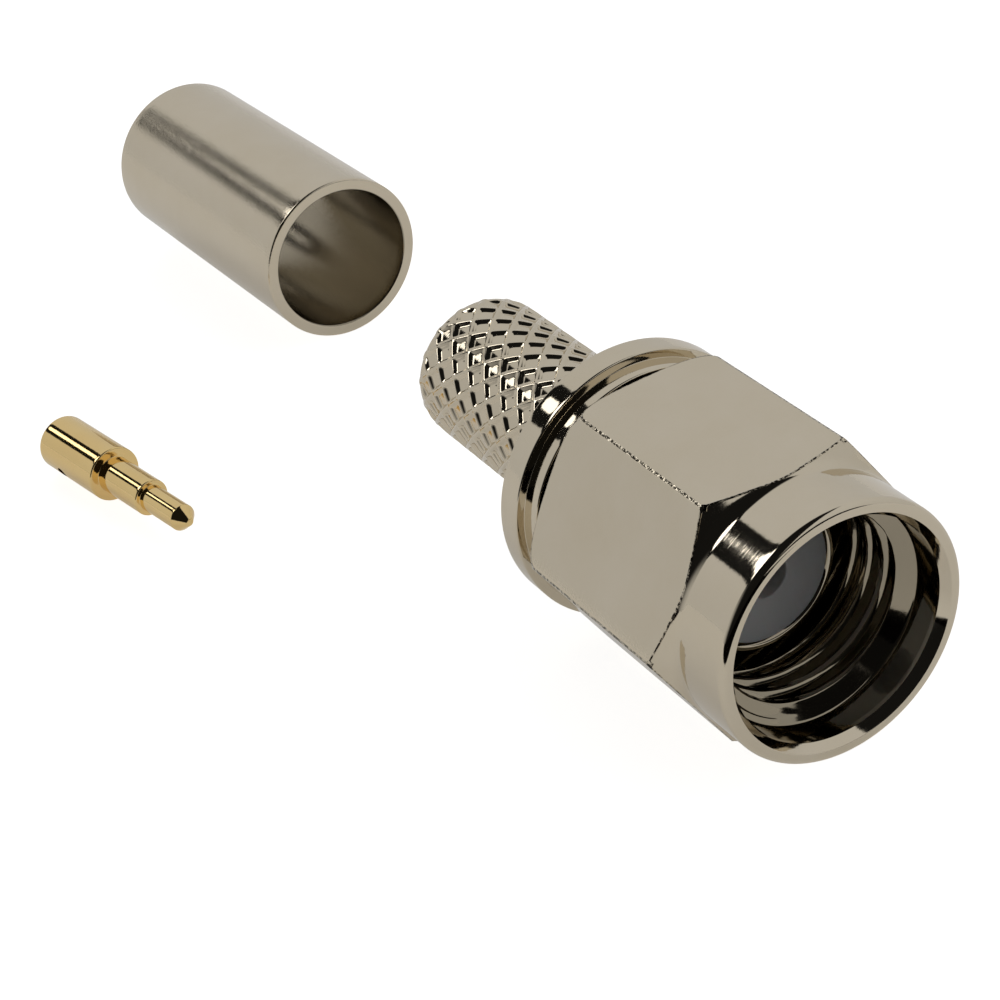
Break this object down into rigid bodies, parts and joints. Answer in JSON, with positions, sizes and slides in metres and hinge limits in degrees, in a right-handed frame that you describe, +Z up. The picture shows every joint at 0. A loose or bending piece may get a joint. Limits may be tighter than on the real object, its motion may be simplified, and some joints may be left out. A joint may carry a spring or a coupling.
{
  "type": "SMA crimp plug",
  "caption": "Straight coaxial crimp plug with a hexagon coupling nut, a knurled crimp stem, and its loose crimp ferrule and gold centre contact.",
  "frame": {"origin": "on the connector's axis at the reference plane, where the outer conductors of plug and jack meet, flush with the front of the sleeve and at the inner end of the nut's thread", "axes": "+X along the connector's axis, out of the nut's mouth; +Z up, with the connector, ferrule and contact lying on one plane below; +Y completes a right-handed frame"},
  "size_m": [0.0439, 0.0165, 0.0086],
  "materials": {
    "nickel_plated_brass": "polished",
    "gold_plated_brass": "polished",
    "ptfe": "matte",
    "spring_bronze": "satin",
    "silicone_rubber": "matte"
  },
  "bodies": {
    "connector": {"connector_body": "nickel_plated_brass", "retaining_ring": "spring_bronze", "sealing_gasket": "silicone_rubber", "insulator": "ptfe", "crimp_ferrule": "nickel_plated_brass", "centre_contact": "gold_plated_brass"},
    "nut": {"coupling_nut": "nickel_plated_brass"}
  },
  "joints": [
    {"name": "nut_spin", "type": "hinge", "parent": "connector", "child": "nut", "pos_m": [0, 0, 0], "axis": [1, 0, 0], "continuous": true}
  ]
}
